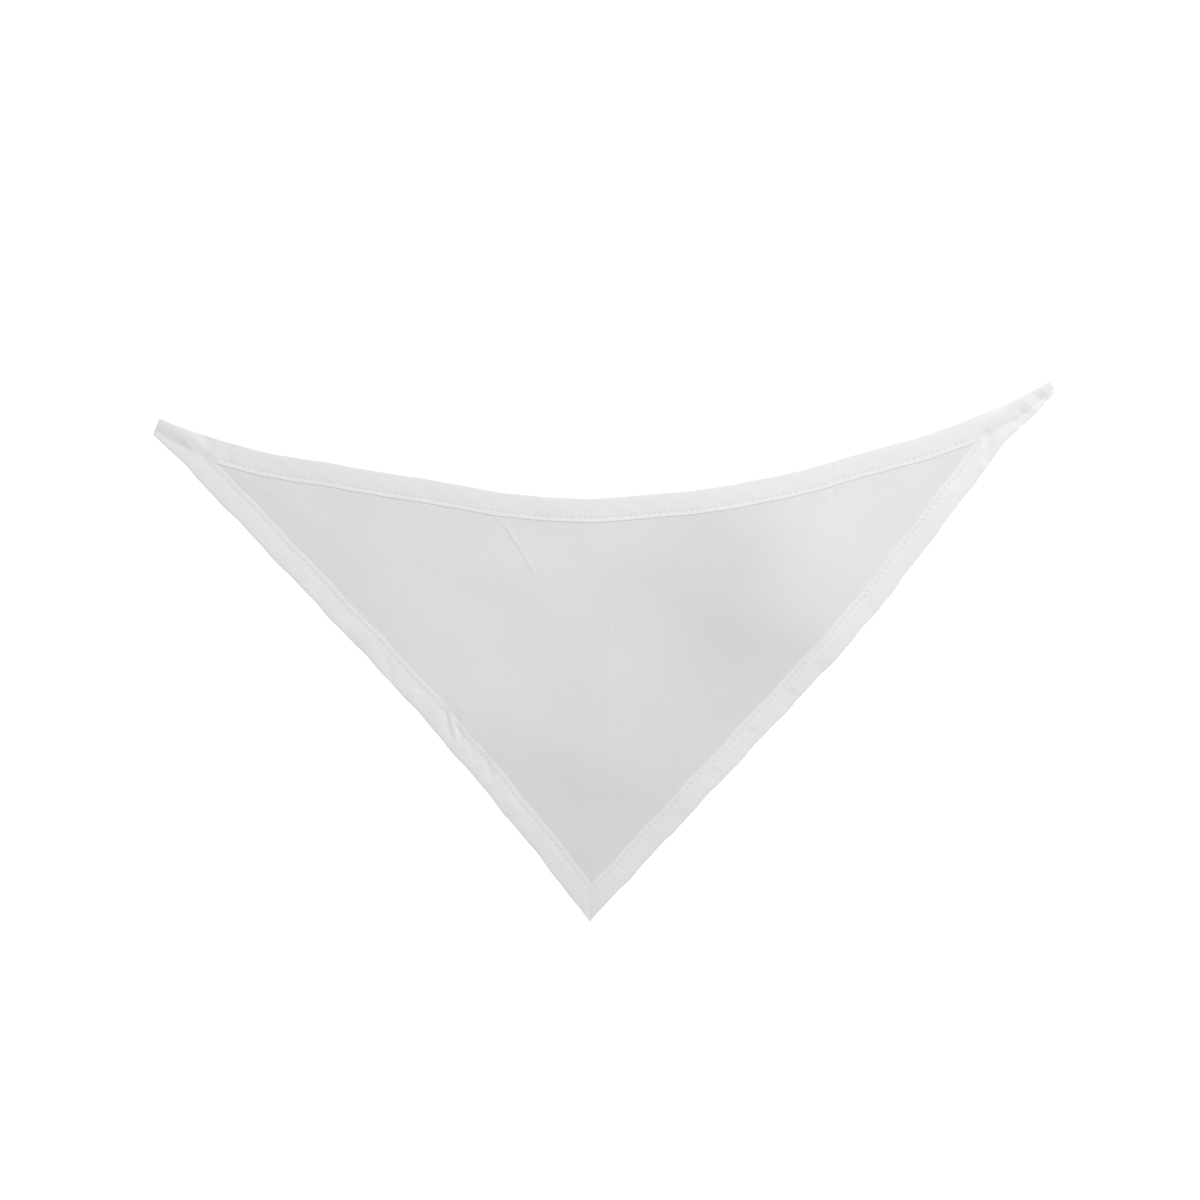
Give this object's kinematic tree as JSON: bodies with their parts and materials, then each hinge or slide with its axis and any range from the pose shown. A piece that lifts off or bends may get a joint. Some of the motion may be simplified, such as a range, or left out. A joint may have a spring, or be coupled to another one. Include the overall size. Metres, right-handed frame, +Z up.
{
  "type": "arm sling",
  "caption": "Triangular bandage arm sling of white hemmed cotton, laid out flat, with narrow tie ends that knot behind the neck and a point that folds in at the elbow.",
  "frame": {"origin": "middle of the laid-out sling's box in X and Y, on the surface that its back lies on", "axes": "+X along the long edge towards the right tie end, +Y from the point towards the long edge, +Z up out of the cloth on the side that the hems are turned to"},
  "size_m": [0.7388, 0.4428, 0.0024],
  "materials": {
    "cotton_cloth": "matt plain-weave white cotton, one layer",
    "cotton_hem": "matt plain-weave white cotton, three layers, so more opaque and brighter",
    "sewing_thread": "white spun sewing thread, slightly glossier than the cloth"
  },
  "bodies": {
    "centre": {"centre_left_leg_bobbin_thread": "sewing_thread", "centre_left_leg_hem_turn": "cotton_hem", "centre_left_leg_needle_thread": "sewing_thread", "centre_left_leg_tucked_edge": "cotton_hem", "centre_long_edge_bobbin_thread": "sewing_thread", "centre_long_edge_hem_turn": "cotton_hem", "centre_long_edge_needle_thread": "sewing_thread", "centre_long_edge_tucked_edge": "cotton_hem", "centre_panel": "cotton_cloth", "centre_right_leg_bobbin_thread": "sewing_thread", "centre_right_leg_hem_turn": "cotton_hem", "centre_right_leg_needle_thread": "sewing_thread", "centre_right_leg_tucked_edge": "cotton_hem"},
    "left_end": {"left_end_left_leg_bobbin_thread": "sewing_thread", "left_end_left_leg_hem_turn": "cotton_hem", "left_end_left_leg_needle_thread": "sewing_thread", "left_end_left_leg_tucked_edge": "cotton_hem", "left_end_long_edge_bobbin_thread": "sewing_thread", "left_end_long_edge_hem_turn": "cotton_hem", "left_end_long_edge_needle_thread": "sewing_thread", "left_end_long_edge_tucked_edge": "cotton_hem", "left_end_panel": "cotton_cloth", "left_tie_end": "cotton_hem"},
    "right_end": {"right_end_long_edge_bobbin_thread": "sewing_thread", "right_end_long_edge_hem_turn": "cotton_hem", "right_end_long_edge_needle_thread": "sewing_thread", "right_end_long_edge_tucked_edge": "cotton_hem", "right_end_panel": "cotton_cloth", "right_end_right_leg_bobbin_thread": "sewing_thread", "right_end_right_leg_hem_turn": "cotton_hem", "right_end_right_leg_needle_thread": "sewing_thread", "right_end_right_leg_tucked_edge": "cotton_hem", "right_tie_end": "cotton_hem"},
    "point": {"point_left_leg_bobbin_thread": "sewing_thread", "point_left_leg_hem_turn": "cotton_hem", "point_left_leg_needle_thread": "sewing_thread", "point_left_leg_tucked_edge": "cotton_hem", "point_panel": "cotton_cloth", "point_right_leg_bobbin_thread": "sewing_thread", "point_right_leg_hem_turn": "cotton_hem", "point_right_leg_needle_thread": "sewing_thread", "point_right_leg_tucked_edge": "cotton_hem"}
  },
  "joints": [
    {"name": "left_end_fold", "type": "hinge", "parent": "centre", "child": "left_end", "pos_m": [-0.1894, 0.15603, 0.007], "axis": [0.1556, 0.9878, 0], "range_deg": [0, 178]},
    {"name": "right_end_fold", "type": "hinge", "parent": "centre", "child": "right_end", "pos_m": [0.18635, 0.16941, 0.007], "axis": [0.2259, -0.9742, 0], "range_deg": [0, 178]},
    {"name": "point_fold", "type": "hinge", "parent": "centre", "child": "point", "pos_m": [-0.00669, -0.06759, 0.007], "axis": [-0.9994, 0.0345, 0], "range_deg": [0, 178]}
  ]
}
